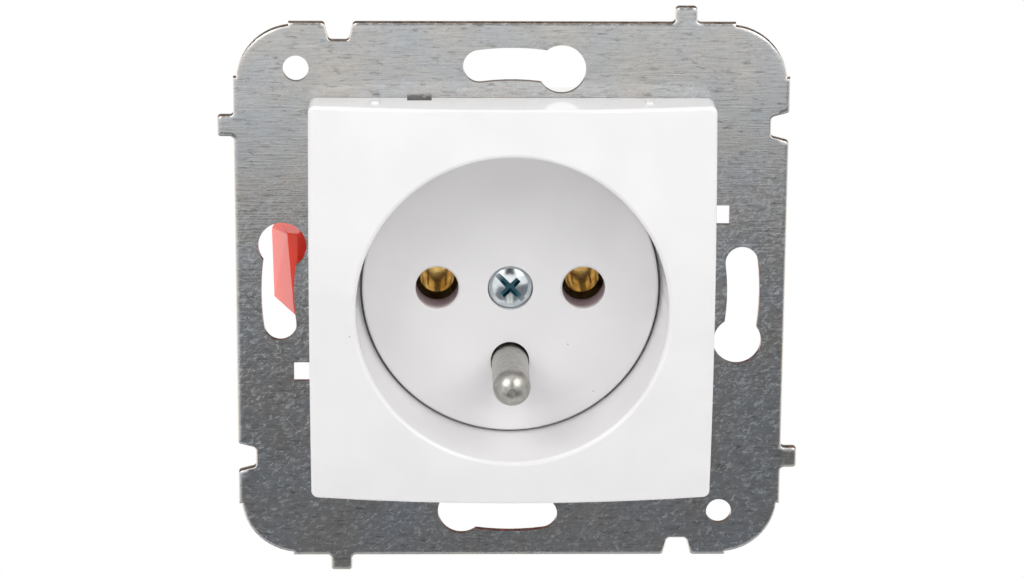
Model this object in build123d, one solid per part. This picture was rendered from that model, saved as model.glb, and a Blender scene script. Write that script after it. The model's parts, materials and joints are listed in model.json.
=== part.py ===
from build123d import *
import math
import os

# Flush wall socket insert with an earth pin, as fitted in a round wall box.
# X runs to the right and Z up as seen from the room, and Y runs into the wall.
# The origin is the centre of the mounting plate's back face, which lies on the wall.
# Lengths are in millimetres and angles in degrees.

# Mounting plate, stamped from steel sheet
plate_margin = 10.7  # how much longer its side is than the pitch of the box screws
plate_t = 1.0
plate_corner_r = 7.5
plate_corner_step = 0.35  # the corner arcs are struck this far inside the straight edges
plate_corner_run = 7.05  # from a side to the corner step on the next side
plate_edge_roll = 0.25  # rounding that the punch leaves on the front edge, for each unit of thickness

# One tab and one notch on each side of the plate, at these insets from the next side
edge_overlap = 1.0  # how far their outlines reach past the plate's edge
tab_inset = 13.35
tab_w = 2.75
tab_l = 2.05
tab_tip_r = 0.45
tab_root_r = 0.5
notch_inset = 13.4
notch_mouth_w = 3.7
notch_floor_w = 2.5
notch_depth = 2.3
notch_r = 0.5

# Keyhole slots for the screws of the wall box, bent round the plate's centre
box_screw_pitch = 60.0
keyhole_slot_w = 4.2
keyhole_round_d = 6.2
keyhole_slot_turn = 7.9
keyhole_round_turn = 12.1

# Two corner holes and two windows, each pair turned by half a turn
corner_hole_d = 3.3
corner_hole_inset = (7.95, 5.95)  # from the plate's nearest sides
window_reach = 28.0
window_w = 3.0
window_h = 2.55
window_z = 10.42

# Square cover with a domed front and the drafted wall of the plug well
cover_side = 51.4
cover_wall = 1.8
cover_corner_r = 0.9
cover_edge_r = 0.5
dome_r = 125.0
rim_stand = 9.4  # the well's rim above the front of the plate
skirt_gap = 0.12
pry_notch_x = -11.75
pry_notch_w = 3.1
pry_notch_depth = 1.8
skirt_pad_x = 17.3
skirt_pad_w = 0.9
skirt_pad_l = 2.2
skirt_pad_h = 0.25
skirt_pad_from_plate = 1.6
well_rim_r = 19.8
well_taper = 0.3  # how much the well's radius falls from rim to floor
well_rim_round = 0.5
tube_wall = 1.3
ledge_w = 1.5
ledge_t = 1.4

# Face disc, the floor of the well
floor_depth = 2.0  # the floor behind the wall plane
seam_gap = 0.3
spigot_gap = 0.25
disc_t = 2.2
disc_edge = 0.2
pin_pitch = 19.0
pin_hole_d = 5.6
pin_hole_l = 5.0
pin_hole_edge = 0.25
collar_wall = 1.2
earth_offset = 10.0
earth_hole_gap = 0.1  # round the earth pin
earth_hole_rise = 0.28  # the hole is longer upwards by this much

# Centre screw, its recess in the disc and its nut
screw_recess_gap = 0.15
screw_recess_depth = 1.6
screw_head_d = 5.6
screw_head_edge = 0.75
screw_head_dome = 0.7
screw_d = 2.9
screw_l = 12.0
screw_clear = 0.2
drive_slot_w = 0.75
drive_slot_depth = 0.5
drive_cross_w = 0.85
drive_cross_l = 3.1
drive_cross_depth = 1.1
drive_taper = 12.0
nut_side = 5.5
nut_t = 2.2
nut_gap = 0.1
nut_depth = 4.4  # from the back of the base's front wall to the nut's seat

# Base housing behind the plate and the lid on its back
pocket_wall = 1.0  # thinnest wall of the base, beside the cover's tube
base_corner_r = 7.0
base_wall = 1.6
base_depth = 24.0
front_wall_t = 2.0
pocket_gap = 0.2
lip_wall = 0.9
lip_gap = 0.2
lip_below = 0.2
collar_gap = 0.15
rib_t = 1.4
nut_boss_side = 9.0
nut_boss_l = 9.4
lid_t = 2.0
lid_edge = 0.6

# Rivets between plate and base, and screws between lid and base
rivet_d = 2.5
rivet_gap = 0.1
rivet_head_d = 4.2
rivet_head_h = 0.7
rivet_tail_d = 3.8
rivet_tail_h = 0.7
lid_post_d = 5.2
lid_post_upper_inset = (10.0, 6.5)  # from the nearest sides of the base
lid_post_lower_inset = (8.5, 11.5)
lid_screw_d = 2.0
lid_screw_l = 8.0
lid_screw_gap = 0.06
lid_screw_head_d = 3.8
lid_screw_head_h = 1.1
lid_screw_recess = 1.2
lid_screw_head_gap = 0.2

# Brass sockets that take the plug pins, with their wire bars and spring clips
contact_t = 0.7
contact_gap = 0.3
grip_d = 4.7
mouth_d = 6.0
mouth_l = 1.5
contact_lid_gap = 2.0  # between the socket's closed end and the lid
slit_w = 0.7
slit_l = 7.0
tail_w = 3.1
bar_w = 9.1
bar_from_pin = 4.1  # from the middle of the plug pin
bar_from_earth = 3.6  # from the middle of the earth pin
bar_from_front_wall = 1.4
bar_past_pivot = 0.5
clip_from_mouth = 3.0
clip_l = 3.0
clip_t = 0.4
clip_gap = 0.05
clip_slit_w = 1.6

# Wire clamp springs and wire entries, measured out from the centre like the levers
spring_t = 0.4
spring_w = 9.0
spring_bend_r = 1.0
spring_from_bar = 0.5
spring_from_wall = 1.0
spring_from_front_wall = 1.6
spring_bend_before_pivot = 5.0
spring_tip_before_pivot = 0.8
wire_pitch = 5.3
wire_hole_d = 3.4
wire_hole_edge = 0.5

# Release levers, hung on trunnions between two cheeks on the base's side
lever_z = 2.35
lever_w = 11.3
lever_gap = 0.3
lever_open = 17.0  # how far the left lever stands open
lever_tip = 1.6
lever_tip_t = 1.4
lever_tooth_out = 5.4
lever_tooth = 6.5
lever_tooth_hook = 1.8
lever_draft = 3.5  # the ramp before the tooth falls back towards its lower end
lever_corner_drop = 0.9  # its upper corner at the tooth is cut down by this much
lever_corner_run = 1.0  # and in by this much
lever_heel_share = 0.587  # where the heel ends across its spring, from the bar to the wall
lever_heel_t = 1.6
lever_heel_drop = 0.3
pivot_out = 2.1
pivot_depth = 19.0
trunnion_d = 2.4
trunnion_gap = 0.08
cheek_t = 1.9
cheek_r = 2.4
trunnion_end_gap = 0.2
lever_window_before_pivot = 2.5

# Earth pin and the strap that joins it to the earth terminal and the plate's lower rivets
earth_pin_d = 4.8
earth_pin_l = 14.0
earth_pip_d = 1.0
earth_pip_h = 0.12
earth_shank_d = 4.3
earth_tail_d = 3.2
earth_peen_d = 5.2
earth_peen_h = 0.8
earth_gap = 0.1
strap_t = 0.8
strap_stem_w = 7.0
strap_stem_gap = 0.8  # below the base's cross rib
strap_bar_w = 4.0
strap_corner_gap = 0.29  # between its ends and the rounded corners of the base's chamber

# Depths along Y
plate_front = -plate_t
rim_y = plate_front - rim_stand
dome_centre_y = rim_y + math.sqrt(dome_r**2 - well_rim_r**2)
apex_y = dome_centre_y - dome_r
skirt_y = plate_front - skirt_gap
ledge_y = floor_depth + disc_t
seat_y = ledge_y + ledge_t
chamber_y = seat_y + front_wall_t
screw_seat_y = floor_depth + screw_recess_depth
nut_y = chamber_y + nut_depth
lid_back = base_depth + lid_t
contact_y = chamber_y + contact_gap
contact_back = base_depth - contact_lid_gap
bar_back = pivot_depth + bar_past_pivot

# Radii and places that several pieces share
plate_side = box_screw_pitch + plate_margin
half_plate = plate_side / 2
well_floor_r = well_rim_r - well_taper
tube_r = well_floor_r + tube_wall
pocket_r = tube_r + pocket_gap
lip_r = pocket_r + lip_wall
opening_r = lip_r + lip_gap
ledge_r = well_floor_r - ledge_w
pin_x = pin_pitch / 2
collar_r = pin_hole_d / 2 + collar_wall
screw_hole_r = screw_d / 2 + screw_clear
half_base = pocket_r + pocket_wall
base_side = 2 * half_base
chamber_side = base_side - 2 * base_wall
pin_bar = pin_x + bar_from_pin
earth_bar = earth_offset + bar_from_earth
pivot_u = half_base + pivot_out
chamber_corner_r = base_corner_r - base_wall
rivet_past_corner = (chamber_corner_r - strap_bar_w / 2 - strap_corner_gap) * math.sqrt(0.5)
rivet_offset = half_base - base_corner_r + rivet_past_corner
rivet_spots = [(rivet_offset * i, rivet_offset * j) for i in (-1, 1) for j in (-1, 1)]
lid_post_rows = ((lid_post_upper_inset, 1), (lid_post_lower_inset, -1))
lid_posts = [
    (side * (half_base - x), row * (half_base - z)) for (x, z), row in lid_post_rows for side in (-1, 1)
]


def facing(y):
    """Sketch plane at depth y as seen from the room, with its normal towards the room."""
    return Plane(origin=(0, y, 0), x_dir=(1, 0, 0), z_dir=(0, -1, 0))


def slab(outline, front, back):
    """A front-view outline given thickness from depth front to depth back."""
    return extrude(facing(back) * outline, back - front)


def rod(radius, front, back, x=0, z=0):
    return slab(Pos(x, z) * Circle(radius), front, back)


def block(x, y, z):
    """A box between two limits on each axis."""
    size = [high - low for low, high in (x, y, z)]
    middle = [(high + low) / 2 for low, high in (x, y, z)]
    return Pos(*middle) * Box(*size)


def turned(profile):
    """A profile of (radius, depth) points turned about the Y axis."""
    return revolve(make_face(Polyline(*profile, close=True)), Axis.Y)


def along_hinge(profile, width):
    """A profile of outward distance and depth, drawn out to both sides along the lever's hinge."""
    return extrude(profile, width / 2, both=True)


def on_right(solid):
    return Pos(0, 0, lever_z) * solid


def on_left(solid):
    return mirror(on_right(solid), about=Plane.YZ)


def at_bottom(solid):
    return Rot(0, 90, 0) * solid


def tab_outline():
    reach = tab_w / 2 + 2 * tab_root_r
    radii = [tab_root_r, tab_tip_r, tab_tip_r, tab_root_r]
    edge = FilletPolyline(
        (-reach, 0), (-tab_w / 2, 0), (-tab_w / 2, tab_l),
        (tab_w / 2, tab_l), (tab_w / 2, 0), (reach, 0), radius=radii,
    )
    root = Polyline((reach, 0), (reach, -edge_overlap), (-reach, -edge_overlap), (-reach, 0))
    return Pos(half_plate - tab_inset, half_plate) * make_face(edge + root)


def notch_outline():
    reach = notch_mouth_w / 2 + 2 * notch_r
    edge = FilletPolyline(
        (-reach, 0), (-notch_mouth_w / 2, 0), (-notch_floor_w / 2, -notch_depth),
        (notch_floor_w / 2, -notch_depth), (notch_mouth_w / 2, 0), (reach, 0), radius=notch_r,
    )
    outside = Polyline((reach, 0), (reach, edge_overlap), (-reach, edge_overlap), (-reach, 0))
    return Pos(notch_inset - half_plate, half_plate) * make_face(edge + outside)


def keyhole_outline():
    ring_r = box_screw_pitch / 2
    round_angle = 90 - keyhole_round_turn
    slot = SlotArc(
        CenterArc((0, 0), ring_r, round_angle, keyhole_round_turn + keyhole_slot_turn), keyhole_slot_w
    )
    angle = math.radians(round_angle)
    round_end = Pos(ring_r * math.cos(angle), ring_r * math.sin(angle)) * Circle(keyhole_round_d / 2)
    return slot + round_end


def mounting_plate():
    inner_side = plate_side - 2 * plate_corner_step
    outline = RectangleRounded(inner_side, inner_side, plate_corner_r)
    edge_run = plate_side - 2 * plate_corner_run
    outline += Rectangle(plate_side, edge_run) + Rectangle(edge_run, plate_side)
    for quarter in range(4):
        quarter_turn = Rot(0, 0, -90 * quarter)
        outline += quarter_turn * tab_outline()
        outline -= quarter_turn * notch_outline()
    plate = slab(outline, plate_front, 0)
    front_edges = plate.faces().sort_by(Axis.Y)[0].edges()
    plate = fillet(front_edges, plate_edge_roll * plate_t)
    holes = Circle(opening_r)
    for quarter in range(4):
        holes += Rot(0, 0, -90 * quarter) * keyhole_outline()
    corner_x, corner_z = corner_hole_inset
    for half in range(2):
        half_turn = Rot(0, 0, 180 * half)
        holes += half_turn * Pos(corner_x - half_plate, half_plate - corner_z) * Circle(corner_hole_d / 2)
        holes += half_turn * Pos(window_reach - window_w / 2, window_z) * Rectangle(window_w, window_h)
    for x, z in rivet_spots:
        holes += Pos(x, z) * Circle(rivet_d / 2 + rivet_gap)
    return plate - slab(holes, 2 * plate_front, plate_t)


def tube_section():
    """Half section of the well's tube: domed rim, drafted wall, ledge for the disc and outer wall."""
    tube_rim_y = dome_centre_y - math.sqrt(dome_r**2 - tube_r**2)
    section = make_face(
        RadiusArc((well_rim_r, rim_y), (tube_r, tube_rim_y), dome_r)
        + Polyline(
            (tube_r, tube_rim_y), (tube_r, seat_y), (ledge_r, seat_y), (ledge_r, ledge_y),
            (well_floor_r, ledge_y), (well_floor_r, floor_depth), (well_rim_r, rim_y),
        )
    )
    return fillet(section.vertices().sort_by(Axis.Y)[0], well_rim_round)


def square_cover():
    dome = Pos(0, dome_centre_y, 0) * Sphere(dome_r)
    inner_dome = Pos(0, dome_centre_y, 0) * Sphere(dome_r - cover_wall)
    inner_side = cover_side - 2 * cover_wall
    shell = slab(RectangleRounded(cover_side, cover_side, cover_corner_r), apex_y, skirt_y) & dome
    front_edges = shell.faces().sort_by(Axis.Y)[0].edges()
    shell = fillet(front_edges, cover_edge_r)
    shell -= slab(Rectangle(inner_side, inner_side), apex_y, skirt_y) & inner_dome
    shell -= rod(tube_r, apex_y, skirt_y)
    half_side = cover_side / 2
    shell += revolve(tube_section(), Axis.Y)
    pad_y = skirt_y - skirt_pad_from_plate
    for x in (-skirt_pad_x, skirt_pad_x):
        for face_z in (-half_side, half_side):
            shell += block(
                (x - skirt_pad_w / 2, x + skirt_pad_w / 2), (pad_y - skirt_pad_l, pad_y),
                (face_z - skirt_pad_h, face_z + skirt_pad_h),
            )
    shell -= block(
        (pry_notch_x - pry_notch_w / 2, pry_notch_x + pry_notch_w / 2),
        (skirt_y - pry_notch_depth, skirt_y), (half_side - 1.5 * cover_wall, half_side + cover_wall),
    )
    return shell


def face_disc():
    disc = rod(well_floor_r - seam_gap, floor_depth, ledge_y)
    rim = disc.edges().sort_by(Axis.Y)[0]
    disc = chamfer(rim, disc_edge)
    disc += rod(ledge_r - spigot_gap, ledge_y, seat_y)
    for x in (-pin_x, pin_x):
        disc += rod(collar_r, ledge_y, floor_depth + pin_hole_l, x)
    for x in (-pin_x, pin_x):
        disc -= rod(pin_hole_d / 2, floor_depth, floor_depth + pin_hole_l, x)
    for x in (-pin_x, pin_x):
        pin_rim = disc.edges().sort_by_distance((x - pin_hole_d / 2, floor_depth, 0))[0]
        disc = chamfer(pin_rim, pin_hole_edge)
    earth_hole = Rot(0, 0, 90) * SlotCenterToCenter(earth_hole_rise, earth_pin_d + 2 * earth_hole_gap)
    disc -= slab(Pos(0, earth_hole_rise / 2 - earth_offset) * earth_hole, floor_depth, seat_y)
    disc -= rod(screw_head_d / 2 + screw_recess_gap, floor_depth, screw_seat_y)
    disc -= rod(screw_hole_r, floor_depth, seat_y)
    return disc


def centre_screw():
    head_r = screw_head_d / 2
    edge_y = screw_seat_y - screw_head_edge
    crown_y = edge_y - screw_head_dome
    crown_r = (head_r**2 + screw_head_dome**2) / (2 * screw_head_dome)
    head = rod(head_r, crown_y, screw_seat_y) & (Pos(0, crown_y + crown_r, 0) * Sphere(crown_r))
    slot = Rot(0, 0, -45) * Rectangle(2 * screw_head_d, drive_slot_w)
    head -= slab(slot, crown_y, crown_y + drive_slot_depth)
    cross = Rectangle(drive_cross_l, drive_cross_w) + Rectangle(drive_cross_w, drive_cross_l)
    cross_plane = Plane(origin=(0, crown_y, 0), x_dir=(1, 0, 0), z_dir=(0, 1, 0))
    head -= extrude(cross_plane * Rot(0, 0, 45) * cross, drive_cross_depth, taper=drive_taper)
    return head + rod(screw_d / 2, screw_seat_y, screw_seat_y + screw_l)


def centre_nut():
    nut = slab(Rectangle(nut_side, nut_side), nut_y, nut_y + nut_t)
    return nut - rod(screw_d / 2 + screw_clear / 2, nut_y, nut_y + nut_t)


def cheek_pair():
    """The two cheeks that carry a lever's trunnions, on the right-hand side of the base."""
    outline = Pos(pivot_u, pivot_depth) * Circle(cheek_r)
    outline += Pos((half_base + pivot_u) / 2, pivot_depth) * Rectangle(pivot_out, 2 * cheek_r)
    outline -= Pos(pivot_u, pivot_depth) * Circle(trunnion_d / 2 + trunnion_gap)
    inner = lever_w / 2 + lever_gap
    plate = extrude(outline, cheek_t)
    return (Pos(0, 0, inner) * plate) + (Pos(0, 0, -inner - cheek_t) * plate)


def lever_window():
    inner = lever_w / 2 + lever_gap
    window_front = pivot_depth - lever_window_before_pivot
    return block((chamber_side / 2 - base_wall, half_base), (window_front, base_depth), (-inner, inner))


def base_housing():
    body = slab(RectangleRounded(base_side, base_side, base_corner_r), 0, base_depth)
    chamber = RectangleRounded(chamber_side, chamber_side, chamber_corner_r)
    half_boss = nut_boss_side / 2
    half_chamber = chamber_side / 2
    upper_rib = Pos(0, (half_boss + half_chamber) / 2) * Rectangle(rib_t, half_chamber - half_boss)
    cross_rib = Pos(0, -half_boss - rib_t / 2) * Rectangle(chamber_side, rib_t)
    chamber -= upper_rib + cross_rib
    for x, z in lid_posts:
        chamber -= Pos(x, z) * Circle(lid_post_d / 2)
    hollow = slab(chamber, chamber_y, base_depth)
    hollow -= slab(Rectangle(nut_boss_side, nut_boss_side), chamber_y, chamber_y + nut_boss_l)
    body -= hollow
    body += rod(lip_r, plate_front + lip_below, 0)
    body -= rod(pocket_r, plate_front, seat_y)
    for x in (-pin_x, pin_x):
        body -= rod(collar_r + collar_gap, seat_y, chamber_y, x)
    body -= rod(earth_shank_d / 2 + earth_gap, seat_y, chamber_y, 0, -earth_offset)
    body -= rod(screw_hole_r, seat_y, chamber_y + nut_boss_l)
    nut_pocket = nut_side + 2 * nut_gap
    body -= slab(Rectangle(nut_pocket, nut_pocket), nut_y, chamber_y + nut_boss_l)
    for x, z in rivet_spots:
        body -= rod(rivet_d / 2 + rivet_gap, 0, chamber_y, x, z)
    for x, z in lid_posts:
        body -= rod(lid_screw_d / 2 + lid_screw_gap, base_depth - lid_screw_l, base_depth, x, z)
    for place in (on_right, on_left, at_bottom):
        body += place(cheek_pair())
        body -= place(lever_window())
    return body


def rear_lid():
    lid = slab(RectangleRounded(base_side, base_side, base_corner_r), base_depth, lid_back)
    back_edges = lid.faces().sort_by(Axis.Y)[-1].edges()
    lid = chamfer(back_edges, lid_edge)
    hole = Circle(wire_hole_d / 2)
    for x, z in wire_spots():
        lid -= slab(Pos(x, z) * hole, base_depth, lid_back)
        rim = Pos(x, z) * Circle(wire_hole_d / 2 + wire_hole_edge)
        funnel = extrude(facing(lid_back) * rim, wire_hole_edge, taper=45)
        lid -= funnel
    for x, z in lid_posts:
        lid -= rod(lid_screw_d / 2 + lid_screw_gap, base_depth, lid_back, x, z)
        head_r = lid_screw_head_d / 2 + lid_screw_head_gap
        lid -= rod(head_r, lid_back - lid_screw_recess, lid_back, x, z)
    return lid


def wire_spots():
    """Centres of the wire entries: two each for the left, right and earth terminals."""
    steps = (-wire_pitch / 2, wire_pitch / 2)
    past_bar = contact_t + wire_hole_d / 2
    sides = [(side * (pin_bar + past_bar), lever_z + step) for side in (-1, 1) for step in steps]
    return sides + [(step, -earth_bar - past_bar) for step in steps]


def lid_screws():
    seat = lid_back - lid_screw_recess
    screws = []
    for x, z in lid_posts:
        screw = rod(lid_screw_d / 2, base_depth - lid_screw_l + lid_t, seat, x, z)
        head = rod(lid_screw_head_d / 2, seat, seat + lid_screw_head_h, x, z)
        screws.append((screw + head).solid())
    return Compound(screws)


def plate_rivets():
    rivets = []
    for x, z in rivet_spots:
        tail = chamber_y + (strap_t if z < 0 else 0)
        rivet = rod(rivet_d / 2, plate_front, tail, x, z)
        rivet += rod(rivet_head_d / 2, plate_front - rivet_head_h, plate_front, x, z)
        rivet += rod(rivet_tail_d / 2, tail, tail + rivet_tail_h, x, z)
        rivets.append(rivet.solid())
    return Compound(rivets)


def pin_contact():
    """The right-hand brass socket: a slit tube with a flared mouth and a closed end, and its wire bar."""
    grip_r = grip_d / 2
    mouth_r = mouth_d / 2
    neck_y = contact_y + mouth_l
    end_y = contact_back - contact_t
    tube = turned([
        (mouth_r, contact_y), (grip_r, neck_y), (grip_r, end_y), (0, end_y), (0, contact_back),
        (grip_r + contact_t, contact_back), (grip_r + contact_t, neck_y), (mouth_r + contact_t, contact_y),
    ])
    slit_reach = mouth_r + 2 * contact_t
    slit_end = contact_y + slit_l
    tube -= block((-slit_reach, slit_reach), (contact_y, slit_end), (-slit_w / 2, slit_w / 2))
    tube = Pos(pin_x, 0, 0) * tube
    bar_out = pin_bar + contact_t
    bar_front = chamber_y + bar_from_front_wall
    tail = block((pin_x, bar_out), (slit_end, slit_end + tail_w), (grip_r, grip_r + contact_t))
    bar = block(
        (pin_bar, bar_out), (bar_front, bar_back), (lever_z - bar_w / 2, lever_z + bar_w / 2)
    )
    return tube + tail + bar


def contact_clip():
    """The spring clip round the right-hand socket, open at the bottom."""
    inner_r = grip_d / 2 + contact_t + clip_gap
    front = contact_y + clip_from_mouth
    outline = Circle(inner_r + clip_t) - Circle(inner_r)
    outline -= Pos(0, -inner_r) * Rectangle(clip_slit_w, 4 * clip_t)
    return slab(Pos(pin_x, 0) * outline, front, front + clip_l)


def spring_limits(bar):
    """Outward limits of the clamp spring beside a bar."""
    return bar + contact_t + spring_from_bar, chamber_side / 2 - spring_from_wall


def clamp_spring(bar):
    """A wire clamp spring beside its bar, in the outward distance and depth of the right-hand terminal."""
    start, outer = spring_limits(bar)
    front = chamber_y + spring_from_front_wall
    bend = pivot_depth - spring_bend_before_pivot
    tip = pivot_depth - spring_tip_before_pivot
    path = FilletPolyline(
        (start, front), (outer, front), (outer, bend), (start, tip), radius=spring_bend_r
    )
    return along_hinge(trace(path, spring_t), spring_w)


def release_lever(bar):
    """A closed lever on the right-hand side: arm with a finger tooth, heel and trunnions."""
    inner = half_base + lever_gap
    tip_out = inner + lever_tip_t
    tooth_u = half_base + lever_tooth_out
    boss_r = pivot_out - lever_gap
    arm = make_face(Polyline(
        (inner, lever_tip), (tip_out, lever_tip), (tooth_u, lever_tooth),
        (tooth_u - lever_tooth_hook, lever_tooth + lever_tooth_hook),
        (pivot_u + boss_r, pivot_depth), (inner, pivot_depth), close=True,
    ))
    spring_start, spring_outer = spring_limits(bar)
    nose_u = spring_start + lever_heel_share * (spring_outer - spring_start)
    nose_front = pivot_depth + lever_heel_drop
    heel = make_face(Polyline(
        (pivot_u, pivot_depth - boss_r), (nose_u, nose_front), (nose_u, nose_front + lever_heel_t),
        (pivot_u, pivot_depth + boss_r), close=True,
    ))
    profile = arm + heel + Pos(pivot_u, pivot_depth) * Circle(boss_r)
    lever = along_hinge(profile, lever_w)
    ramp_start = Vector(tip_out, lever_tip, lever_w / 2)
    ramp = Vector(tooth_u, lever_tooth, lever_w / 2) - ramp_start
    drafted = Vector(ramp.Y, -ramp.X, -math.tan(math.radians(lever_draft)) * ramp.length)
    lever = split(lever, Plane(origin=ramp_start, z_dir=drafted), keep=Keep.BOTTOM)
    corner = (ramp - Vector(0, 0, lever_corner_drop)).cross(ramp - Vector(lever_corner_run, 0, 0))
    lever = split(lever, Plane(origin=ramp_start, z_dir=corner), keep=Keep.BOTTOM)
    trunnion = Pos(pivot_u, pivot_depth) * Circle(trunnion_d / 2)
    trunnion_l = lever_w + 2 * (lever_gap + cheek_t - trunnion_end_gap)
    return lever + along_hinge(trunnion, trunnion_l)


def opened_left(solid):
    """The left-hand lever, swung outward about its trunnions."""
    hinge = Axis((-pivot_u, pivot_depth, 0), (0, 0, 1))
    return on_left(solid).rotate(hinge, -lever_open)


def earth_pin():
    pin_r = earth_pin_d / 2
    tip_y = floor_depth - earth_pin_l
    tail_end = chamber_y + strap_t
    pin = rod(pin_r, tip_y + pin_r, floor_depth)
    pin += Pos(0, tip_y + pin_r, 0) * Sphere(pin_r)
    pin += rod(earth_pip_d / 2, tip_y - earth_pip_h, tip_y + pin_r)
    pin += rod(earth_shank_d / 2, floor_depth, chamber_y)
    pin += rod(earth_tail_d / 2, chamber_y, tail_end)
    pin += rod(earth_peen_d / 2, tail_end, tail_end + earth_peen_h)
    return Pos(0, 0, -earth_offset) * pin


def earth_strap():
    stem_top = -(nut_boss_side / 2 + rib_t + strap_stem_gap)
    stem = Pos(0, (stem_top - rivet_offset) / 2) * Rectangle(strap_stem_w, stem_top + rivet_offset)
    outline = stem + Pos(0, -rivet_offset) * SlotCenterToCenter(2 * rivet_offset, strap_bar_w)
    outline -= Pos(0, -earth_offset) * Circle(earth_tail_d / 2 + earth_gap)
    for x in (-rivet_offset, rivet_offset):
        outline -= Pos(x, -rivet_offset) * Circle(rivet_d / 2 + rivet_gap)
    strap = slab(outline, chamber_y, chamber_y + strap_t)
    bar = block((-bar_w / 2, bar_w / 2), (chamber_y, bar_back), (-earth_bar - contact_t, -earth_bar))
    return strap + bar


pieces = {
    "mounting_plate": mounting_plate(),
    "square_cover": square_cover(),
    "face_disc": face_disc(),
    "base_housing": base_housing(),
    "rear_lid": rear_lid(),
    "centre_screw": centre_screw(),
    "centre_nut": centre_nut(),
    "plate_rivets": plate_rivets(),
    "lid_screws": lid_screws(),
    "right_contact": pin_contact(),
    "left_contact": mirror(pin_contact(), about=Plane.YZ),
    "right_contact_clip": contact_clip(),
    "left_contact_clip": mirror(contact_clip(), about=Plane.YZ),
    "right_clamp_spring": on_right(clamp_spring(pin_bar)),
    "left_clamp_spring": on_left(clamp_spring(pin_bar)),
    "earth_clamp_spring": at_bottom(clamp_spring(earth_bar)),
    "right_release_lever": on_right(release_lever(pin_bar)),
    "left_release_lever": opened_left(release_lever(pin_bar)),
    "earth_release_lever": at_bottom(release_lever(earth_bar)),
    "earth_pin": earth_pin(),
    "earth_strap": earth_strap(),
}

os.makedirs("parts", exist_ok=True)
for name, piece in pieces.items():
    export_step(piece, f"parts/{name}.step")
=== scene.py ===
"""Looks of the flush wall socket insert: finishes of its pieces, studio and camera."""
import json
import math

import bmesh
import bpy
from mathutils import Matrix, Vector


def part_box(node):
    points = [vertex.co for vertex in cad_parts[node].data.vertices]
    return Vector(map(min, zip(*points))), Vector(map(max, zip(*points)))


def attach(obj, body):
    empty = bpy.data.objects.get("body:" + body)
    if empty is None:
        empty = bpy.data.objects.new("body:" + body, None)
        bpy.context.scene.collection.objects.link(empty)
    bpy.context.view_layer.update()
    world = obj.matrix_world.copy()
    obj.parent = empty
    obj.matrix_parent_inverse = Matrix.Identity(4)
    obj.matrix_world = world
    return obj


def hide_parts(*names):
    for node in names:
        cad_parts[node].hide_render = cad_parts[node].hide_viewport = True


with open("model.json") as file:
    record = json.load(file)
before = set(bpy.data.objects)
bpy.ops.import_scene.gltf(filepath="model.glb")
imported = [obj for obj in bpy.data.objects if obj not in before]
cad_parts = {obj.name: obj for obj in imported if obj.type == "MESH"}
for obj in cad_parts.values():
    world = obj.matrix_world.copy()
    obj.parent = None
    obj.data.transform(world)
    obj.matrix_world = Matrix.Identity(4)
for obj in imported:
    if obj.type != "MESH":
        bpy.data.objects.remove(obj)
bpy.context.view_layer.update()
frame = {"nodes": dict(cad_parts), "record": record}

MM = 0.001  # lengths in Blender are in metres, and sizes of the pieces below in millimetres
nodes = frame["nodes"]

# A mix node's sockets share their names, so they are found by number
SHARE, COLOUR_A, COLOUR_B, COLOUR_OUT = 0, 6, 7, 2
NORMAL_A, NORMAL_B, NORMAL_OUT = 4, 5, 1


def linear(code):
    """An sRGB hex colour as linear RGBA."""
    channels = [int(code[i:i + 2], 16) / 255 for i in (1, 3, 5)]
    return [c / 12.92 if c <= 0.04045 else ((c + 0.055) / 1.055) ** 2.4 for c in channels] + [1.0]


def add(tree, kind, inputs=None, stops=(), **settings):
    """Adds a shader node with its settings; each input takes a value or a link from another node's output."""
    node = tree.nodes.new(kind)
    for name, value in settings.items():
        setattr(node, name, value)
    for socket, value in (inputs or {}).items():
        if isinstance(value, bpy.types.NodeSocket):
            tree.links.new(value, node.inputs[socket])
        else:
            node.inputs[socket].default_value = value
    for i, (position, code) in enumerate(stops):
        elements = node.color_ramp.elements
        stop = elements[i] if i < len(elements) else elements.new(position)
        stop.position, stop.color = position, linear(code)
    return node


def finish_of(name):
    """A new material with its node tree, its shader and its coordinates in millimetres."""
    material = bpy.data.materials.new(name)
    material.use_nodes = True
    tree = material.node_tree
    place = add(tree, "ShaderNodeTexCoord")
    in_mm = add(tree, "ShaderNodeMapping", {"Vector": place.outputs["Object"], "Scale": (1 / MM,) * 3})
    return material, tree, tree.nodes["Principled BSDF"], in_mm.outputs["Vector"]


def stray_scratches(tree, in_mm):
    """Scratches on the steel sheet that lean to either side, in patches: the roughness that they add."""
    scratch_l, scratch_w, patch_size = 7, 0.14, 12
    patches = add(tree, "ShaderNodeTexNoise", {"Vector": in_mm, "Scale": 1 / patch_size, "Detail": 1})
    patchy = add(
        tree, "ShaderNodeMapRange",
        {"Value": patches.outputs["Fac"], "From Min": 0.5, "From Max": 0.62, "To Max": 0.26},
    )
    scratches = []
    for lean in (35, -50):
        turned = add(tree, "ShaderNodeMapping", {"Vector": in_mm, "Rotation": (0, math.radians(lean), 0)})
        drawn = add(
            tree, "ShaderNodeMapping",
            {"Vector": turned.outputs[0], "Scale": (1 / scratch_l, 1, 1 / scratch_w)},
        )
        lines = add(tree, "ShaderNodeTexNoise", {"Vector": drawn.outputs[0], "Scale": 1, "Detail": 2})
        thin = add(
            tree, "ShaderNodeMapRange", {"Value": lines.outputs["Fac"], "From Min": 0.64, "From Max": 0.7}
        )
        scratches.append(thin.outputs[0])
    either = add(tree, "ShaderNodeMath", dict(enumerate(scratches)), operation="MAXIMUM")
    scores = add(tree, "ShaderNodeMath", {0: either.outputs[0], 1: patchy.outputs[0]}, operation="MULTIPLY")
    return scores.outputs[0]


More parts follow.
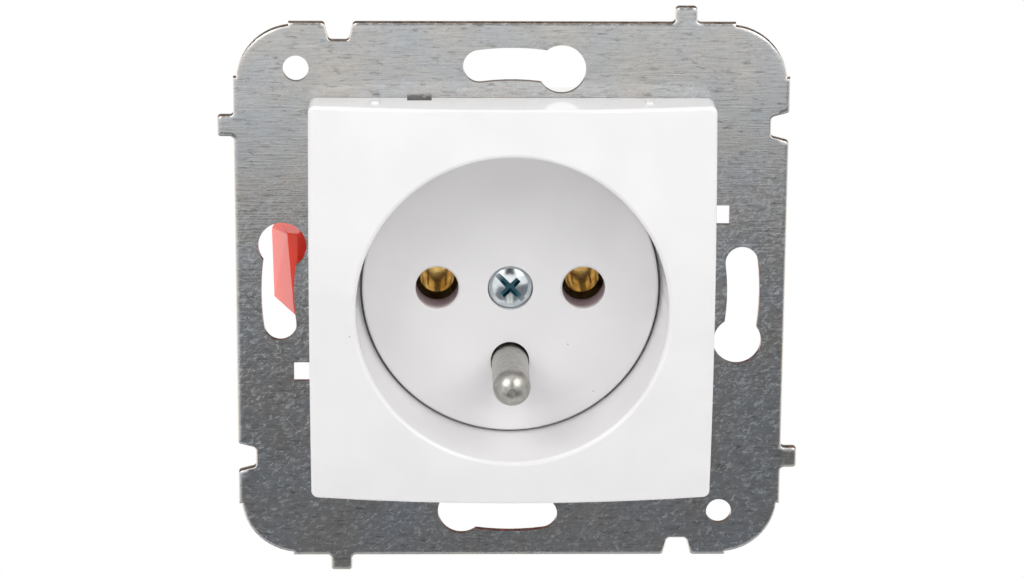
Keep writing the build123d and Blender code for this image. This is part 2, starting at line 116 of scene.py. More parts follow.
def rolled_rim(tree, in_mm):
    """The steel sheet's normal, turned over along the rim as blanking leaves it."""
    half_side, corner_r = 70.7 / 2, 7.5  # of the plate without its tabs
    roll_r = 0.8  # drawn wider than the real roll so that its gleam shows
    rim_from, rim_to = corner_r - 1.4, corner_r - 1  # measured like the corner's radius
    quarter = add(tree, "ShaderNodeVectorMath", {0: in_mm}, operation="ABSOLUTE")
    core = (half_side - corner_r, half_side, half_side - corner_r)
    past_core = add(tree, "ShaderNodeVectorMath", {0: quarter.outputs[0], 1: core}, operation="SUBTRACT")
    outside = add(tree, "ShaderNodeVectorMath", {0: past_core.outputs[0], 1: (0, 0, 0)}, operation="MAXIMUM")
    reach = add(tree, "ShaderNodeVectorMath", {0: outside.outputs[0]}, operation="LENGTH")
    rim = add(
        tree, "ShaderNodeMapRange",
        {"Value": reach.outputs["Value"], "From Min": rim_from, "From Max": rim_to},
    )
    rolled = add(tree, "ShaderNodeBevel", {"Radius": roll_r * MM}, samples=8)
    flat = add(tree, "ShaderNodeNewGeometry")
    formed = add(
        tree, "ShaderNodeMix",
        {SHARE: rim.outputs[0], NORMAL_A: flat.outputs["Normal"], NORMAL_B: rolled.outputs[0]},
        data_type="VECTOR",
    )
    return formed.outputs[NORMAL_OUT]


def zinc_coated_steel_sheet():
    """Cold-rolled steel sheet with a thin zinc coat, sheared and pierced.

    The eye sees fine rolling streaks, dull zinc flecks, dark scuffs, stray scratches and raw brown cut edges,
    with a painted pale reflection on the cut faces at the sides.
    """
    material, tree, shader, in_mm = finish_of("zinc_coated_steel_sheet")
    # rolling streaks, drawn twice as wide as real ones so that they show
    streak_l, streak_w = 4, 0.22
    rolling = add(tree, "ShaderNodeMapping", {"Vector": in_mm, "Scale": (1 / streak_l, 1, 1 / streak_w)})
    streaks = add(
        tree, "ShaderNodeTexNoise",
        {"Vector": rolling.outputs[0], "Scale": 1, "Detail": 5, "Roughness": 0.6},
    )
    # warm and cool clouds of the coat
    cloud_size = 9
    clouds = add(tree, "ShaderNodeTexNoise", {"Vector": in_mm, "Scale": 1 / cloud_size, "Detail": 3})
    coat = add(
        tree, "ShaderNodeValToRGB", {"Fac": clouds.outputs["Fac"]},
        stops=[(0.35, "#CEC9C2"), (0.65, "#C6C8CA")],
    )
    # pale bluish dull flecks that lean to the right
    fleck_l, fleck_w, fleck_lean = 0.8, 0.5, math.radians(25)
    leaning = add(tree, "ShaderNodeMapping", {"Vector": in_mm, "Rotation": (0, fleck_lean, 0)})
    slim = add(
        tree, "ShaderNodeMapping", {"Vector": leaning.outputs[0], "Scale": (1 / fleck_l, 1, 1 / fleck_w)}
    )
    flecks = add(
        tree, "ShaderNodeTexNoise",
        {"Vector": slim.outputs[0], "Scale": 1, "Detail": 2, "Distortion": 1.0},
    )
    fleck = add(
        tree, "ShaderNodeMapRange", {"Value": flecks.outputs["Fac"], "From Min": 0.46, "From Max": 0.74}
    )
    pale = add(tree, "ShaderNodeMath", {0: fleck.outputs[0], 1: 0.5}, operation="MULTIPLY")
    flecked = add(
        tree, "ShaderNodeMix",
        {SHARE: pale.outputs[0], COLOUR_A: coat.outputs[0], COLOUR_B: linear("#DCE4EA")},
        data_type="RGBA",
    )
    # dark scuffs along the rolling
    scuff_l, scuff_h = 1.8, 0.45
    along = add(tree, "ShaderNodeMapping", {"Vector": in_mm, "Scale": (1 / scuff_l, 1, 1 / scuff_h)})
    scuffs = add(
        tree, "ShaderNodeTexNoise",
        {"Vector": along.outputs[0], "Scale": 1, "Detail": 5, "Distortion": 0.8},
    )
    scuffed = add(
        tree, "ShaderNodeMapRange",
        {"Value": scuffs.outputs["Fac"], "From Min": 0.56, "From Max": 0.72, "To Max": 0.6},
    )
    worn = add(
        tree, "ShaderNodeMix",
        {SHARE: scuffed.outputs[0], COLOUR_A: flecked.outputs[COLOUR_OUT], COLOUR_B: linear("#77756F")},
        data_type="RGBA",
    )
    shade = add(
        tree, "ShaderNodeValToRGB", {"Fac": streaks.outputs["Fac"]},
        stops=[(0.3, "#E0E0E0"), (0.7, "#FFFFFF")],
    )
    sheet = add(
        tree, "ShaderNodeMix",
        {SHARE: 1.0, COLOUR_A: worn.outputs[COLOUR_OUT], COLOUR_B: shade.outputs[0]},
        data_type="RGBA", blend_type="MULTIPLY",
    )
    # cut faces have their normal in the sheet: dark and ragged raw steel where they face up or down, and a
    # pale painted reflection of the bright surroundings where they face the sides
    place = add(tree, "ShaderNodeTexCoord")
    facing = add(tree, "ShaderNodeSeparateXYZ", {0: place.outputs["Normal"]})
    flatness = add(tree, "ShaderNodeMath", {0: facing.outputs["Y"]}, operation="ABSOLUTE")
    cut = add(
        tree, "ShaderNodeMapRange", {"Value": flatness.outputs[0], "From Min": 0.95, "From Max": 0.8}
    )
    upright = add(tree, "ShaderNodeMath", {0: facing.outputs["Z"]}, operation="ABSOLUTE")
    level = add(
        tree, "ShaderNodeMapRange", {"Value": upright.outputs[0], "From Min": 0.2, "From Max": 0.5}
    )
    shear_pitch = 0.7
    shear = add(tree, "ShaderNodeTexNoise", {"Vector": in_mm, "Scale": 1 / shear_pitch, "Detail": 3})
    torn = add(
        tree, "ShaderNodeValToRGB", {"Fac": shear.outputs["Fac"]},
        stops=[(0.35, "#3E3129"), (0.7, "#7A6656")],
    )
    # painted reflection: the cut faces at the sides take a pale cream in place of the raw steel
    raw_cut_with_painted_side_gleam = add(
        tree, "ShaderNodeMix",
        {SHARE: level.outputs[0], COLOUR_A: linear("#E9E1D8"), COLOUR_B: torn.outputs[0]},
        data_type="RGBA",
    )
    edged = add(
        tree, "ShaderNodeMix",
        {SHARE: cut.outputs[0], COLOUR_A: sheet.outputs[COLOUR_OUT], COLOUR_B: raw_cut_with_painted_side_gleam.outputs[COLOUR_OUT]},
        data_type="RGBA",
    )
    tree.links.new(edged.outputs[COLOUR_OUT], shader.inputs["Base Color"])
    # flecks and scratches are rougher, so they look pale where the sheet mirrors something dark
    dull = add(tree, "ShaderNodeMath", {0: fleck.outputs[0], 1: 0.18}, operation="MULTIPLY")
    duller = add(
        tree, "ShaderNodeMath", {0: dull.outputs[0], 1: stray_scratches(tree, in_mm)}, operation="MAXIMUM"
    )
    smooth = add(
        tree, "ShaderNodeMath", {0: clouds.outputs["Fac"], 1: 0.08, 2: 0.1}, operation="MULTIPLY_ADD"
    )
    rough = add(tree, "ShaderNodeMath", {0: smooth.outputs[0], 1: duller.outputs[0]}, operation="ADD")
    rougher = add(
        tree, "ShaderNodeMath", {0: cut.outputs[0], 1: 0.35, 2: rough.outputs[0]}, operation="MULTIPLY_ADD"
    )
    tree.links.new(rougher.outputs[0], shader.inputs["Roughness"])
    shader.inputs["Metallic"].default_value = 1.0
    relief = {
        "Height": streaks.outputs["Fac"], "Strength": 0.3, "Distance": 0.02 * MM,
        "Normal": rolled_rim(tree, in_mm),
    }
    bump = add(tree, "ShaderNodeBump", relief)
    tree.links.new(bump.outputs[0], shader.inputs["Normal"])
    return material


def shaded_pin_hole_walls(tree, in_mm):
    """The walls of the two pin holes from a little below the floor, where shade is painted and the finish is
    matt: 1 on them and 0 elsewhere.
    """
    mount = next(m for m in frame["record"]["mounts"] if m["name"] == "right_pin_socket")
    pin_x, hole_r = mount["pos_m"][0] / MM, mount["dims"]["r_mm"]
    wall_margin = 0.05  # past the hole's radius, so that its wall is taken in
    floor_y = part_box("face_disc")[0][1] / MM
    wall_shade_from, wall_shade_to = floor_y + 1.1, floor_y + 1.4
    halves = add(tree, "ShaderNodeVectorMath", {0: in_mm}, operation="ABSOLUTE")
    from_pin = add(
        tree, "ShaderNodeVectorMath", {0: halves.outputs[0], 1: (pin_x, 0, 0)}, operation="SUBTRACT"
    )
    across = add(tree, "ShaderNodeVectorMath", {0: from_pin.outputs[0], 1: (1, 0, 1)}, operation="MULTIPLY")
    pin_r = add(tree, "ShaderNodeVectorMath", {0: across.outputs[0]}, operation="LENGTH")
    in_hole = add(
        tree, "ShaderNodeMath", {0: pin_r.outputs["Value"], 1: hole_r + wall_margin}, operation="LESS_THAN"
    )
    depth = add(tree, "ShaderNodeSeparateXYZ", {0: in_mm})
    deep = add(
        tree, "ShaderNodeMapRange",
        {"Value": depth.outputs["Y"], "From Min": wall_shade_from, "From Max": wall_shade_to},
    )
    matt_shaded_hole_wall = add(tree, "ShaderNodeMath", {0: in_hole.outputs[0], 1: deep.outputs[0]}, operation="MULTIPLY")
    return matt_shaded_hole_wall.outputs[0]


def glossy_white_thermoplastic():
    """White thermoplastic moulded in a polished tool.

    The eye sees it bright, glossy and faintly wavy, with stray dust, and matt in the pin holes, whose walls
    get a painted mauve shade.
    """
    material, tree, shader, in_mm = finish_of("glossy_white_thermoplastic")
    flow_size = 9  # flow marks of the moulding
    flow = add(tree, "ShaderNodeTexNoise", {"Vector": in_mm, "Scale": 1 / flow_size, "Detail": 2})
    white = add(
        tree, "ShaderNodeValToRGB", {"Fac": flow.outputs["Fac"]},
        stops=[(0.35, "#EFEEEE"), (0.65, "#F3F2F2")],
    )
    # one dust speck to a cell, and only in every third cell
    cell_size, speck_r, bare_share = 4, 0.1, 0.66
    cells = add(tree, "ShaderNodeTexVoronoi", {"Vector": in_mm, "Scale": 1 / cell_size})
    speck = add(
        tree, "ShaderNodeMath", {0: cells.outputs["Distance"], 1: speck_r / cell_size}, operation="LESS_THAN"
    )
    chosen = add(tree, "ShaderNodeSeparateColor", {0: cells.outputs["Color"]})
    kept = add(tree, "ShaderNodeMath", {0: chosen.outputs[0], 1: bare_share}, operation="GREATER_THAN")
    dust = add(tree, "ShaderNodeMath", {0: speck.outputs[0], 1: kept.outputs[0]}, operation="MULTIPLY")
    dusted = add(
        tree, "ShaderNodeMix",
        {SHARE: dust.outputs[0], COLOUR_A: white.outputs[0], COLOUR_B: linear("#B9B6B2")},
        data_type="RGBA",
    )
    matt_shaded_hole_wall = shaded_pin_hole_walls(tree, in_mm)
    # painted shade: the pin holes' walls are darkened to a mauve grey, the look of shade with a warm bounce
    # from the brass
    hole_shaded = add(
        tree, "ShaderNodeMix",
        {SHARE: matt_shaded_hole_wall, COLOUR_A: dusted.outputs[COLOUR_OUT], COLOUR_B: linear("#B8A5AA")},
        data_type="RGBA",
    )
    tree.links.new(hole_shaded.outputs[COLOUR_OUT], shader.inputs["Base Color"])
    gloss = add(tree, "ShaderNodeMapRange", {"Value": flow.outputs["Fac"], "To Min": 0.07, "To Max": 0.11})
    rough = add(tree, "ShaderNodeMath", {0: matt_shaded_hole_wall, 1: 0.45, 2: gloss.outputs[0]}, operation="MULTIPLY_ADD")
    tree.links.new(rough.outputs[0], shader.inputs["Roughness"])
    shader.inputs["IOR"].default_value = 1.5
    bump = add(
        tree, "ShaderNodeBump", {"Height": flow.outputs["Fac"], "Strength": 0.1, "Distance": 0.05 * MM}
    )
    tree.links.new(bump.outputs[0], shader.inputs["Normal"])
    return material


def matt_white_thermoplastic():
    """White glass-filled thermoplastic from a spark-eroded tool: matt, finely grained, slightly mottled."""
    material, tree, shader, in_mm = finish_of("matt_white_thermoplastic")
    mottle_size, grain_size = 6, 0.25
    mottle = add(tree, "ShaderNodeTexNoise", {"Vector": in_mm, "Scale": 1 / mottle_size, "Detail": 4})
    white = add(
        tree, "ShaderNodeValToRGB", {"Fac": mottle.outputs["Fac"]},
        stops=[(0.3, "#E6E6E2"), (0.7, "#EFEFEC")],
    )
    tree.links.new(white.outputs[0], shader.inputs["Base Color"])
    grain = add(tree, "ShaderNodeTexNoise", {"Vector": in_mm, "Scale": 1 / grain_size, "Detail": 2})
    rough = add(tree, "ShaderNodeMapRange", {"Value": grain.outputs["Fac"], "To Min": 0.42, "To Max": 0.58})
    tree.links.new(rough.outputs[0], shader.inputs["Roughness"])
    shader.inputs["IOR"].default_value = 1.55
    bump = add(
        tree, "ShaderNodeBump", {"Height": grain.outputs["Fac"], "Strength": 0.35, "Distance": 0.03 * MM}
    )
    tree.links.new(bump.outputs[0], shader.inputs["Normal"])
    return material


def bright_zinc_plate():
    """Cold-formed steel with blue-passivated zinc: bluish and bright, with tiny dents and a painted teal
    shade in the centre screw's drive.
    """
    material, tree, shader, in_mm = finish_of("bright_zinc_plate")
    tint_size, dent_size = 1.4, 0.3
    tint = add(tree, "ShaderNodeTexNoise", {"Vector": in_mm, "Scale": 1 / tint_size, "Detail": 2})
    zinc = add(
        tree, "ShaderNodeValToRGB", {"Fac": tint.outputs["Fac"]}, stops=[(0.3, "#CAD4D9"), (0.7, "#E9EEEF")]
    )
    # the centre screw's crown falls by the square of the radius over twice its curvature
    crown_r, head_reach = 6, 3
    crown_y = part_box("centre_screw")[0][1] / MM
    parts = add(tree, "ShaderNodeSeparateXYZ", {0: in_mm})
    across = add(tree, "ShaderNodeVectorMath", {0: in_mm, 1: (1, 0, 1)}, operation="MULTIPLY")
    square = add(
        tree, "ShaderNodeVectorMath", {0: across.outputs[0], 1: across.outputs[0]}, operation="DOT_PRODUCT"
    )
    crown = add(
        tree, "ShaderNodeMath", {0: square.outputs["Value"], 1: 1 / (2 * crown_r), 2: crown_y},
        operation="MULTIPLY_ADD",
    )
    below = add(tree, "ShaderNodeMath", {0: parts.outputs["Y"], 1: crown.outputs[0]}, operation="SUBTRACT")
    # painted shade: the centre screw's drive, below its crown, is darkened to the teal hue of the passivation
    deep = add(tree, "ShaderNodeMapRange", {"Value": below.outputs[0], "From Min": 0.08, "From Max": 0.3})
    head = add(
        tree, "ShaderNodeMath", {0: square.outputs["Value"], 1: head_reach ** 2}, operation="LESS_THAN"
    )
    recess_shade = add(tree, "ShaderNodeMath", {0: deep.outputs[0], 1: head.outputs[0]}, operation="MULTIPLY")
    recess_shaded = add(
        tree, "ShaderNodeMix",
        {SHARE: recess_shade.outputs[0], COLOUR_A: zinc.outputs[0], COLOUR_B: linear("#558591")},
        data_type="RGBA",
    )
    tree.links.new(recess_shaded.outputs[COLOUR_OUT], shader.inputs["Base Color"])
    dents = add(tree, "ShaderNodeTexNoise", {"Vector": in_mm, "Scale": 1 / dent_size, "Detail": 3})
    rough = add(tree, "ShaderNodeMapRange", {"Value": dents.outputs["Fac"], "To Min": 0.1, "To Max": 0.22})
    tree.links.new(rough.outputs[0], shader.inputs["Roughness"])
    shader.inputs["Metallic"].default_value = 1.0
    bump = add(
        tree, "ShaderNodeBump", {"Height": dents.outputs["Fac"], "Strength": 0.2, "Distance": 0.02 * MM}
    )
    tree.links.new(bump.outputs[0], shader.inputs["Normal"])
    return material


def tarnished_brass_strip():
    """Rolled brass strip, lightly tarnished: warm gold with browner, duller clouds and fine rolling lines."""
    material, tree, shader, in_mm = finish_of("tarnished_brass_strip")
    cloud_size, line_l, line_w = 1.6, 3, 0.12
    tarnish = add(
        tree, "ShaderNodeTexNoise",
        {"Vector": in_mm, "Scale": 1 / cloud_size, "Detail": 4, "Distortion": 0.4},
    )
    brass = add(
        tree, "ShaderNodeValToRGB", {"Fac": tarnish.outputs["Fac"]},
        stops=[(0.3, "#C9A257"), (0.7, "#F6E2AC")],
    )
    tree.links.new(brass.outputs[0], shader.inputs["Base Color"])
    rough = add(tree, "ShaderNodeMapRange", {"Value": tarnish.outputs["Fac"], "To Min": 0.1, "To Max": 0.04})
    tree.links.new(rough.outputs[0], shader.inputs["Roughness"])
    # the brown film is no metal, so it takes light from all round
    film = add(
        tree, "ShaderNodeMapRange",
        {"Value": tarnish.outputs["Fac"], "From Min": 0.3, "From Max": 0.7, "To Min": 0.8, "To Max": 1.0},
    )
    tree.links.new(film.outputs[0], shader.inputs["Metallic"])
    along = add(tree, "ShaderNodeMapping", {"Vector": in_mm, "Scale": (1 / line_w, 1 / line_l, 1 / line_w)})
    rolling = add(tree, "ShaderNodeTexNoise", {"Vector": along.outputs[0], "Scale": 1, "Detail": 2})
    bump = add(
        tree, "ShaderNodeBump", {"Height": rolling.outputs["Fac"], "Strength": 0.2, "Distance": 0.01 * MM}
    )
    tree.links.new(bump.outputs[0], shader.inputs["Normal"])
    return material


def stainless_spring_strip():
    """Rolled stainless spring strip: cool grey, satin, with fine lines along the strip."""
    material, tree, shader, in_mm = finish_of("stainless_spring_strip")
    line_l, line_w = 4, 0.15
    along = add(tree, "ShaderNodeMapping", {"Vector": in_mm, "Scale": (1 / line_w, 1 / line_l, 1 / line_w)})
    lines = add(tree, "ShaderNodeTexNoise", {"Vector": along.outputs[0], "Scale": 1, "Detail": 3})
    steel = add(
        tree, "ShaderNodeValToRGB", {"Fac": lines.outputs["Fac"]}, stops=[(0.3, "#A6A8AA"), (0.7, "#C4C5C6")]
    )
    tree.links.new(steel.outputs[0], shader.inputs["Base Color"])
    rough = add(tree, "ShaderNodeMapRange", {"Value": lines.outputs["Fac"], "To Min": 0.2, "To Max": 0.36})
    tree.links.new(rough.outputs[0], shader.inputs["Roughness"])
    shader.inputs["Metallic"].default_value = 1.0
    return material


def red_polycarbonate():
    """Red polycarbonate moulded in a smooth tool: saturated and glossy, with faint flow marks."""
    material, tree, shader, in_mm = finish_of("red_polycarbonate")
    flow_size, light_depth = 4, 4
    flow = add(tree, "ShaderNodeTexNoise", {"Vector": in_mm, "Scale": 1 / flow_size, "Detail": 3})
    red = add(
        tree, "ShaderNodeValToRGB", {"Fac": flow.outputs["Fac"]}, stops=[(0.3, "#FB2C00"), (0.7, "#FF3A04")]
    )
    tree.links.new(red.outputs[0], shader.inputs["Base Color"])
    gloss = add(tree, "ShaderNodeMapRange", {"Value": flow.outputs["Fac"], "To Min": 0.13, "To Max": 0.2})
    tree.links.new(gloss.outputs[0], shader.inputs["Roughness"])
    shader.inputs["IOR"].default_value = 1.585
    # red light goes a few millimetres into the moulding, and green and blue less
    shader.inputs["Subsurface Weight"].default_value = 1.0
    shader.inputs["Subsurface Radius"].default_value = (1.0, 0.25, 0.1)
    shader.inputs["Subsurface Scale"].default_value = light_depth * MM
    bump = add(
        tree, "ShaderNodeBump", {"Height": flow.outputs["Fac"], "Strength": 0.15, "Distance": 0.05 * MM}
    )
    tree.links.new(bump.outputs[0], shader.inputs["Normal"])
    return material


def satin_tin_plate():
    """Turned brass with satin tin plate: a soft warm grey with fine turning rings round its axis."""
    material, tree, shader, in_mm = finish_of("satin_tin_plate")
    low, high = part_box("earth_pin")
    axis_z = (low[2] + high[2]) / 2 / MM
    on_axis = add(tree, "ShaderNodeVectorMath", {0: in_mm, 1: (0, 0, axis_z)}, operation="SUBTRACT")
    across = add(tree, "ShaderNodeVectorMath", {0: on_axis.outputs[0], 1: (1, 0, 1)}, operation="MULTIPLY")
    radius = add(tree, "ShaderNodeVectorMath", {0: across.outputs[0]}, operation="LENGTH")
    # turning rings, drawn coarser than the real feed of 0.05 mm so that they show
    ring_pitch, mottle_size = 0.16, 0.7
    phase = add(
        tree, "ShaderNodeMath", {0: radius.outputs["Value"], 1: 2 * math.pi / ring_pitch},
        operation="MULTIPLY",
    )
    rings = add(tree, "ShaderNodeMath", {0: phase.outputs[0]}, operation="SINE")
    mottle = add(tree, "ShaderNodeTexNoise", {"Vector": in_mm, "Scale": 1 / mottle_size, "Detail": 4})
    tin = add(
        tree, "ShaderNodeValToRGB", {"Fac": mottle.outputs["Fac"]}, stops=[(0.3, "#97958F"), (0.7, "#BAB8B2")]
    )
    tree.links.new(tin.outputs[0], shader.inputs["Base Color"])
    rough = add(tree, "ShaderNodeMapRange", {"Value": mottle.outputs["Fac"], "To Min": 0.26, "To Max": 0.38})
    tree.links.new(rough.outputs[0], shader.inputs["Roughness"])
    shader.inputs["Metallic"].default_value = 1.0
    bump = add(
        tree, "ShaderNodeBump", {"Height": rings.outputs[0], "Strength": 0.15, "Distance": 0.005 * MM}
    )
    tree.links.new(bump.outputs[0], shader.inputs["Normal"])
    return material


def matt_paper(name, dark, pale):
    """Matt studio paper or card, with faint clouds of fibres between two tones."""
    material, tree, shader, in_mm = finish_of(name)
    cloud_size = 3
    fibres = add(tree, "ShaderNodeTexNoise", {"Vector": in_mm, "Scale": 1 / cloud_size, "Detail": 3})
    tone = add(
        tree, "ShaderNodeValToRGB", {"Fac": fibres.outputs["Fac"]}, stops=[(0.3, dark), (0.7, pale)]
    )
    tree.links.new(tone.outputs[0], shader.inputs["Base Color"])
    shader.inputs["Roughness"].default_value = 0.9
    return material


def placed(name, data):
    """A new object in the scene that holds a mesh, a lamp or a lens."""
    made = bpy.data.objects.new(name, data)
    bpy.context.scene.collection.objects.link(made)
    return made


def object_from(name, shape):
    """A new object in the scene that holds a bmesh's shape."""
    mesh = bpy.data.meshes.new(name)
    shape.to_mesh(mesh)
    shape.free()
    return placed(name, mesh)


def screw_blank(front, back):
    """One rear screw along Y from depth front to depth back: pointed shank and round-edged pan head."""
    shank_r, head_r, head_h, edge_r, point_l = (size * MM for size in (1.0, 1.9, 1.1, 0.4, 0.8))
    edge_steps, turn_steps = 6, 48
    arc = [math.radians(90 / edge_steps * step) for step in range(edge_steps + 1)]
    rim = [(head_r - edge_r * (1 - math.cos(a)), back - edge_r * (1 - math.sin(a))) for a in arc]
    profile = [
        (0, front), (shank_r / 2, front), (shank_r, front + point_l), (shank_r, back - head_h),
        (head_r, back - head_h), *rim, (0, back),
    ]
    blank = bmesh.new()
    line = [blank.verts.new((radius, depth, 0)) for radius, depth in profile]
    edges = [blank.edges.new(pair) for pair in zip(line, line[1:])]
    bmesh.ops.spin(
        blank, geom=line + edges, axis=(0, 1, 0), angle=2 * math.pi, steps=turn_steps, use_merge=True
    )
    bmesh.ops.remove_doubles(blank, verts=blank.verts, dist=0.001 * MM)
    bmesh.ops.recalc_face_normals(blank, faces=blank.faces)
    return blank


def cross_punch(back):
    """The tapered cross that is struck into a rear screw's head at depth back."""
    arm_l, half_arm_w, depth, lift = (size * MM for size in (1.15, 0.25, 0.75, 0.1))
    taper = 0.55  # the tip's size for each unit of the mouth's
    outline = [(arm_l, -half_arm_w), (arm_l, half_arm_w), (half_arm_w, half_arm_w)]
    for _ in range(3):
        outline += [(-z, x) for x, z in outline[-3:]]
    punch = bmesh.new()
    mouth = [punch.verts.new((x, back + lift, z)) for x, z in outline]
    tip = [punch.verts.new((x * taper, back - depth, z * taper)) for x, z in outline]
    punch.faces.new(mouth)
    punch.faces.new(tip[::-1])
    for i in range(len(outline)):
        punch.faces.new((mouth[i - 1], tip[i - 1], tip[i], mouth[i]))
    bmesh.ops.recalc_face_normals(punch, faces=punch.faces)
    return punch


def rear_screws():
    """The lid's four screws with round-edged heads and cross recesses, in the place of the plain ones."""
    low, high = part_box("lid_screws")
    screw = object_from("screw_blank", screw_blank(low[1], high[1]))
    punch = object_from("cross_punch", cross_punch(high[1]))
    strike = screw.modifiers.new("strike", "BOOLEAN")
    strike.object = punch
    struck = bpy.data.meshes.new_from_object(screw.evaluated_get(bpy.context.evaluated_depsgraph_get()))
    screws = bmesh.new()
    plain = [corner.co for corner in nodes["lid_screws"].data.vertices]
    for side in (-1, 1):
        for row in (-1, 1):
            own = [c for c in plain if c.x * side > 0 and c.z * row > 0]
            x, z = ((min(c[axis] for c in own) + max(c[axis] for c in own)) / 2 for axis in (0, 2))
            before = len(screws.verts)
            screws.from_mesh(struck)
            screws.verts.ensure_lookup_table()
            bmesh.ops.translate(screws, verts=screws.verts[before:], vec=(x, 0, z))
    for tool in (screw, punch):
        bpy.data.objects.remove(tool)
    piece = object_from("rear_screws", screws)
    piece.data.shade_smooth()
    piece.data.set_sharp_from_angle(angle=math.radians(35))
    piece.data.materials.append(finishes["zinc_steel"])
    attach(piece, "socket")
    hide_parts("lid_screws")


def lever_moulding(name, body, ramp_shift=None):
    """A release lever with its edges rounded as they leave the mould, in the place of the sharp-edged one.

    ramp_shift may move the front corners, which the photo shows, by a rule that takes and gives millimetres.
    """
    edge_r, edge_steps, sharp = 0.12, 3, math.radians(30)
    flat_area = 3  # the lever's flat faces are larger than this, in mm2, and its round edges smaller
    shape = bmesh.new()
    shape.from_mesh(nodes[name].data)
    bmesh.ops.remove_doubles(shape, verts=shape.verts, dist=0.001 * MM)
    bmesh.ops.dissolve_limit(shape, angle_limit=math.radians(1), verts=shape.verts, edges=shape.edges)
    if ramp_shift:
        for corner in shape.verts:
            corner.co = Vector(ramp_shift(*(corner.co / MM))) * MM
    corners = [raw_cut_with_painted_side_gleam for raw_cut_with_painted_side_gleam in shape.edges if raw_cut_with_painted_side_gleam.calc_face_angle(0) > sharp]
    bmesh.ops.bevel(
        shape, geom=corners, offset=edge_r * MM, segments=edge_steps, profile=0.5, affect="EDGES",
        clamp_overlap=True,
    )
    # the flat faces keep an even gloss between the round edges
    for face in shape.faces:
        face.smooth = face.calc_area() < flat_area * MM ** 2
    bmesh.ops.triangulate(shape, faces=shape.faces)
    piece = object_from(body + "_moulding", shape)
    piece.data.materials.append(finishes["red_moulding"])
    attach(piece, body)
    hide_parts(name)


def fitted_ramp(x, y, z):
    """The open left lever's front corners, moved by up to 0.8 mm to where the photo shows them."""
    ramp_y, ramp_l, arm_y = 2.0, 6.2, 13  # where the ramp starts, its length, and where the arm starts
    middle_z, top_z = 2.35, 7.5
    upper_out, lower_out = 0.27, 0.62
    top_drop, corner_drop, lower_drop, lower_rise = 0.77, 0.6, 0.28, 0.83
    if y > arm_y:
        return x, y, z
    along = min(max((y - ramp_y) / ramp_l, 0), 1)
    if z > top_z:
        return x - upper_out * along, y, z - top_drop * (1 - along)
    if z > middle_z:
        return x - upper_out * along, y, z - corner_drop
    return x - lower_out * along, y, z - lower_drop + lower_rise * along


def studio_floor(height, radius):
    """A round sheet of pale matt paper below the object."""
    corners = 96
    turns = [2 * math.pi * i / corners for i in range(corners)]
    mesh = bpy.data.meshes.new("studio_floor")
    ring = [(radius * math.cos(turn), radius * math.sin(turn), height) for turn in turns]
    mesh.from_pydata(ring, [], [range(corners)])
    floor = placed("studio_floor", mesh)
    mesh.materials.append(matt_paper("matt_white_paper", "#EFEFEE", "#F3F3F2"))


def dark_card(name, corners, dark, pale):
    """A grey card that only shows in gloss, as the dark side of a studio does."""
    mesh = bpy.data.meshes.new(name)
    mesh.from_pydata(corners, [], [(0, 1, 2, 3)])
    card = placed(name, mesh)
    card.visible_camera = False
    card.visible_diffuse = False
    card.visible_shadow = False
    mesh.materials.append(matt_paper("grey_studio_card", dark, pale))


def soft_box(name, place, size, watts):
    """A square soft light at a place, turned towards the object."""
    lamp = bpy.data.lights.new(name, "AREA")
    lamp.shape = "SQUARE"
    lamp.size = size
    lamp.energy = watts
    holder = placed(name, lamp)
    holder.location = place
    holder.rotation_euler = Vector(place).to_track_quat("Z", "Y").to_euler()


def white_surround(front, behind):
    """White for the camera and in gloss; all else gets a soft light, brighter from behind the object."""
    world = bpy.data.worlds.new("white_surround")
    bpy.context.scene.world = world
    world.use_nodes = True
    tree = world.node_tree
    ray = add(tree, "ShaderNodeLightPath")
    seen = add(
        tree, "ShaderNodeMath", {0: ray.outputs["Is Camera Ray"], 1: ray.outputs["Is Glossy Ray"]},
        operation="MAXIMUM",
    )
    shown = add(
        tree, "ShaderNodeMath", {0: seen.outputs[0], 1: ray.outputs["Is Transmission Ray"]},
        operation="MAXIMUM",
    )
    place = add(tree, "ShaderNodeTexCoord")
    towards = add(tree, "ShaderNodeSeparateXYZ", {0: place.outputs["Generated"]})
    turned = add(
        tree, "ShaderNodeMapRange", {"Value": towards.outputs["Y"], "From Min": -0.2, "From Max": 0.2}
    )
    soft = add(
        tree, "ShaderNodeMix",
        {SHARE: turned.outputs[0], COLOUR_A: linear(front), COLOUR_B: linear(behind)},
        data_type="RGBA",
    )
    colour = add(
        tree, "ShaderNodeMix",
        {SHARE: shown.outputs[0], COLOUR_A: soft.outputs[COLOUR_OUT], COLOUR_B: linear("#FFFFFF")},
        data_type="RGBA",
    )
    tree.links.new(colour.outputs[COLOUR_OUT], tree.nodes["Background"].inputs["Color"])


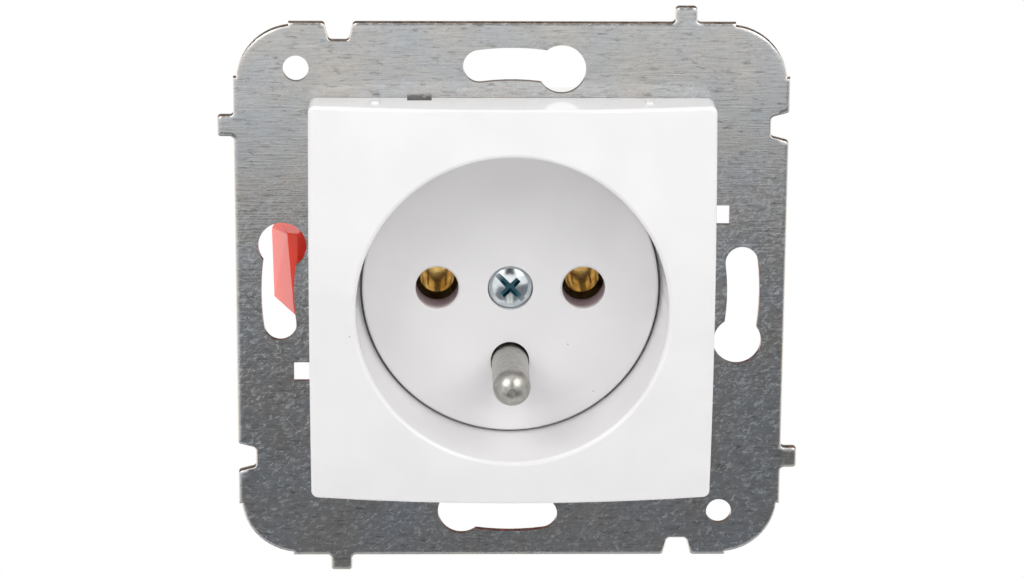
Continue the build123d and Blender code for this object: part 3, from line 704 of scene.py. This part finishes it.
def main_camera():
    """The camera of the front view: its place, direction, roll and lens were fitted to the photo."""
    place = Vector((-9.530, -418.444, 106.994)) * MM
    elevation, azimuth, roll = (math.radians(a) for a in (14.28, -1.327, 0.346))
    right = Vector((math.cos(azimuth), math.sin(azimuth), 0))
    level_back = Vector((math.sin(azimuth), -math.cos(azimuth), 0))
    back = level_back * math.cos(elevation) + Vector((0, 0, math.sin(elevation)))
    up = back.cross(right)
    across = right * math.cos(roll) + up * math.sin(roll)
    upright = up * math.cos(roll) - right * math.sin(roll)
    lens = bpy.data.cameras.new("main_camera")
    lens.sensor_width = 36.0
    lens.lens = 117.68
    lens.clip_start = 0.01
    camera = placed("main_camera", lens)
    camera.matrix_world = Matrix.Translation(place) @ Matrix((across, upright, back)).transposed().to_4x4()
    bpy.context.scene.camera = camera


finishes = {
    "galvanised_plate": zinc_coated_steel_sheet(),
    "white_moulding": glossy_white_thermoplastic(),
    "base_moulding": matt_white_thermoplastic(),
    "zinc_steel": bright_zinc_plate(),
    "brass_strip": tarnished_brass_strip(),
    "spring_steel": stainless_spring_strip(),
    "red_moulding": red_polycarbonate(),
    "plated_pin": satin_tin_plate(),
}
for subpart in frame["record"]["subparts"]:
    for slot in nodes[subpart["node"]].material_slots:
        slot.material = finishes[subpart["material_slot"]]

rear_screws()
lever_moulding("left_release_lever", "left_lever", fitted_ramp)
lever_moulding("right_release_lever", "right_lever")
lever_moulding("earth_release_lever", "earth_lever")

# The studio, in metres
studio_floor(height=-0.45, radius=1.1)
# the plate's lower half mirrors the lower card, and the drive of the centre screw the upper one
lower_card = [(-0.4, -0.75, -0.175), (0.9, -0.75, -0.08), (0.9, -0.35, -0.44), (-0.4, -0.35, -0.44)]
upper_card = [(-0.2, -0.9, 0.32), (0.2, -0.9, 0.32), (0.2, -0.9, 1.3), (-0.2, -0.9, 1.3)]
dark_card("lower_dark_card", lower_card, "#6A6C70", "#707276")
dark_card("upper_dark_card", upper_card, "#2A2829", "#302E2F")
soft_box("left_soft_box", (-0.66, -0.74, 0.75), size=0.9, watts=6.15)
soft_box("right_soft_box", (0.66, -0.74, 0.75), size=0.9, watts=6.15)
# a small light behind gives the open lever's ramp its gleam
soft_box("left_rear_soft_box", (-0.56, 0.6, -0.19), size=0.26, watts=0.11)
white_surround(front="#B6B5B7", behind="#FFFFFF")
main_camera()
bpy.context.scene.view_settings.view_transform = "Standard"
